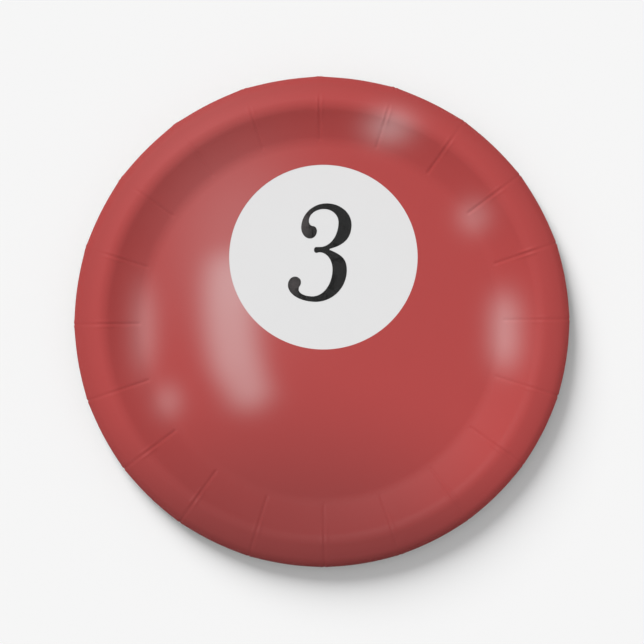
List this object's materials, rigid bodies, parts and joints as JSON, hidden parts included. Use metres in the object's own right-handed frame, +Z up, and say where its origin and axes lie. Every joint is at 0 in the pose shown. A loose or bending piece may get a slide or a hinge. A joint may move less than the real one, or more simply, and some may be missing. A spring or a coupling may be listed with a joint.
{
  "type": "printed paper plate",
  "caption": "Round pressed paperboard plate with a pleated rim, printed as a red ball with a white roundel and a numeral.",
  "frame": {"origin": "centre of the well's flat underside, where the plate stands on a table", "axes": "+Z up, out of the printed face; +Y towards the top of the numeral; +X to the numeral's right"},
  "size_m": [0.178, 0.178, 0.0082],
  "materials": {
    "board": "matte",
    "white_coat": "satin",
    "red_ink": "satin",
    "black_ink": "satin",
    "clear_coat": "satin"
  },
  "bodies": {
    "root": {"board": "board", "white_coat": "white_coat", "red_print": "red_ink", "numeral_print": "black_ink", "clear_coat": "clear_coat"}
  },
  "joints": []
}
